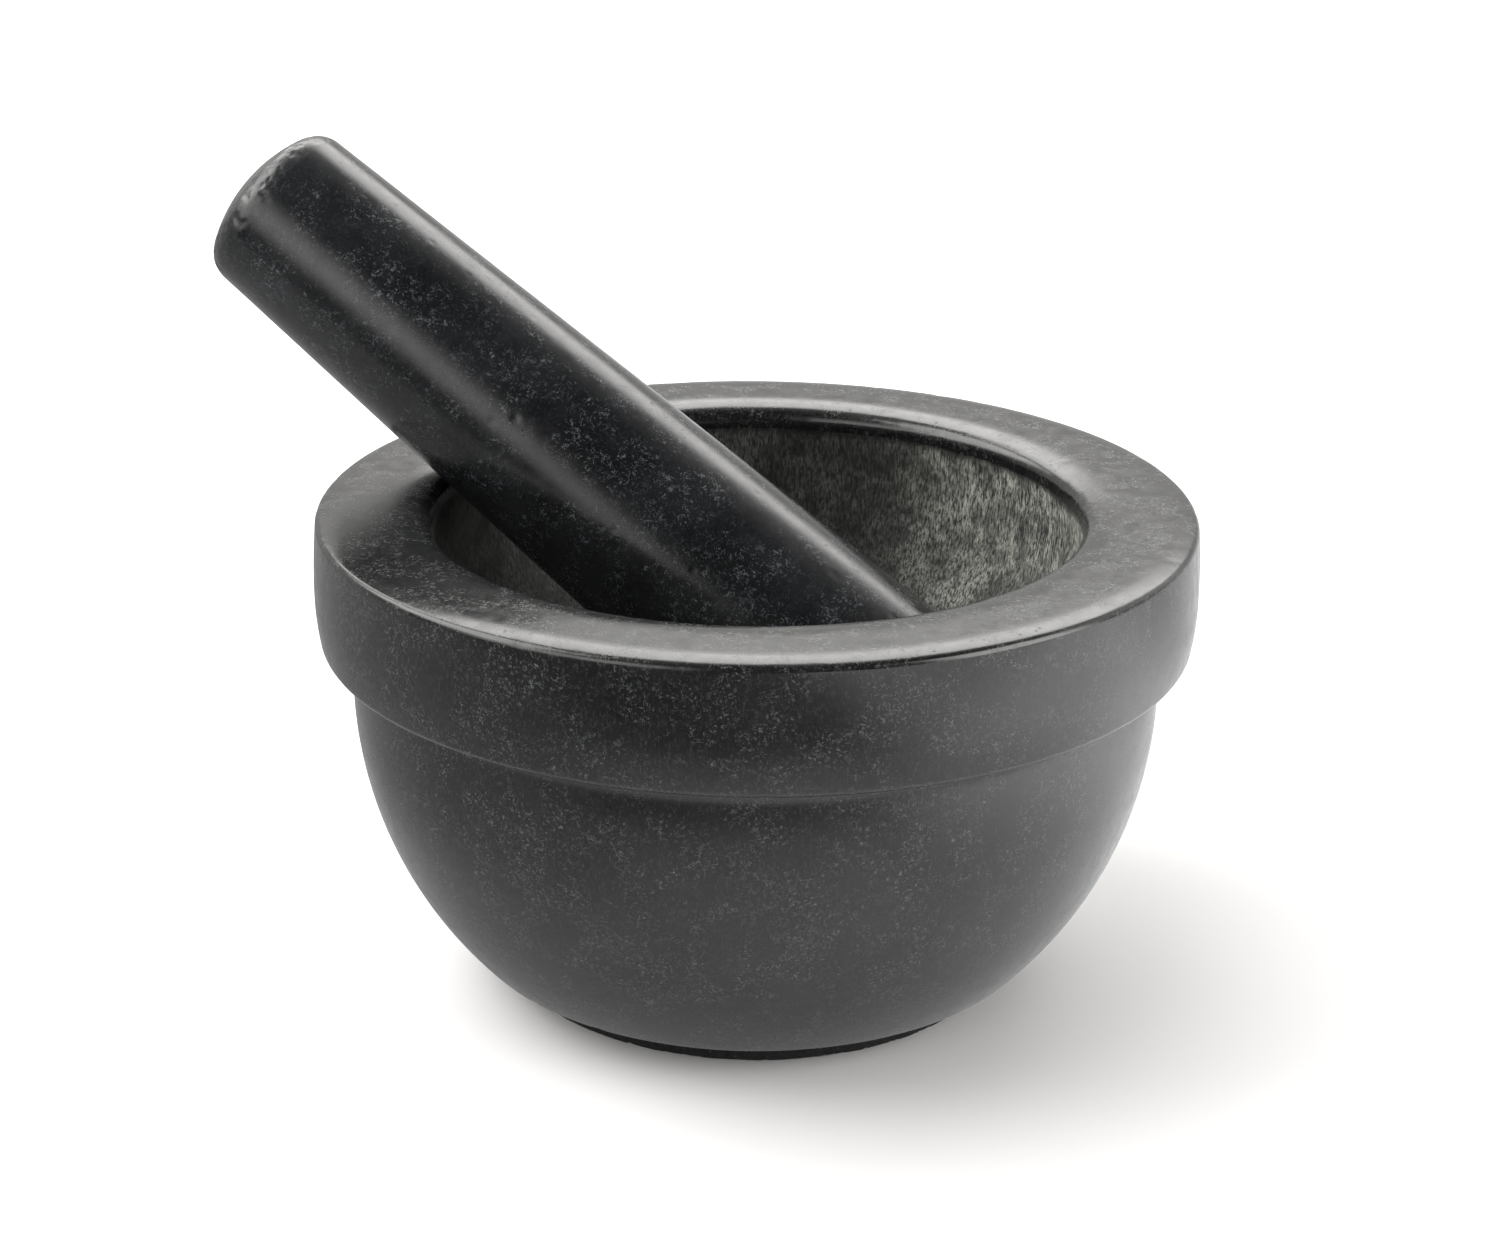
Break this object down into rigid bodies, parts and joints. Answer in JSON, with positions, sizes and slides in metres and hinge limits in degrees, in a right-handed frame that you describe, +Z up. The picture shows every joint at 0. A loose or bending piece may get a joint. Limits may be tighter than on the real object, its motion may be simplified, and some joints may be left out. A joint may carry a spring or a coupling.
{
  "type": "stone mortar and pestle",
  "caption": "Turned black stone bowl with a raised rim band and a foam pad underfoot, and a tapered stone pestle with domed ends leaning in it.",
  "frame": {"origin": "centre of the foam pad's underside, on the surface that the mortar stands on", "axes": "+Z up along the bowl's axis; the pestle leans in the XZ plane with its grip end towards -X"},
  "size_m": [0.1614, 0.14, 0.1301],
  "materials": {
    "bowl_stone": "honed, rough-ground inside",
    "adhesive_film": "translucent, tacky",
    "foam_pad": "matt foam with fine pores",
    "pestle_stone": "honed, worn rough at the ends"
  },
  "bodies": {
    "mortar": {"mortar_bowl": "bowl_stone", "pad_adhesive": "adhesive_film", "foot_pad": "foam_pad"},
    "pestle": {"pestle": "pestle_stone"}
  },
  "joints": [
    {"name": "pestle_lift", "type": "slide", "parent": "mortar", "child": "pestle", "axis": [0, 0, 1], "range_m": [0, 0.09]}
  ]
}
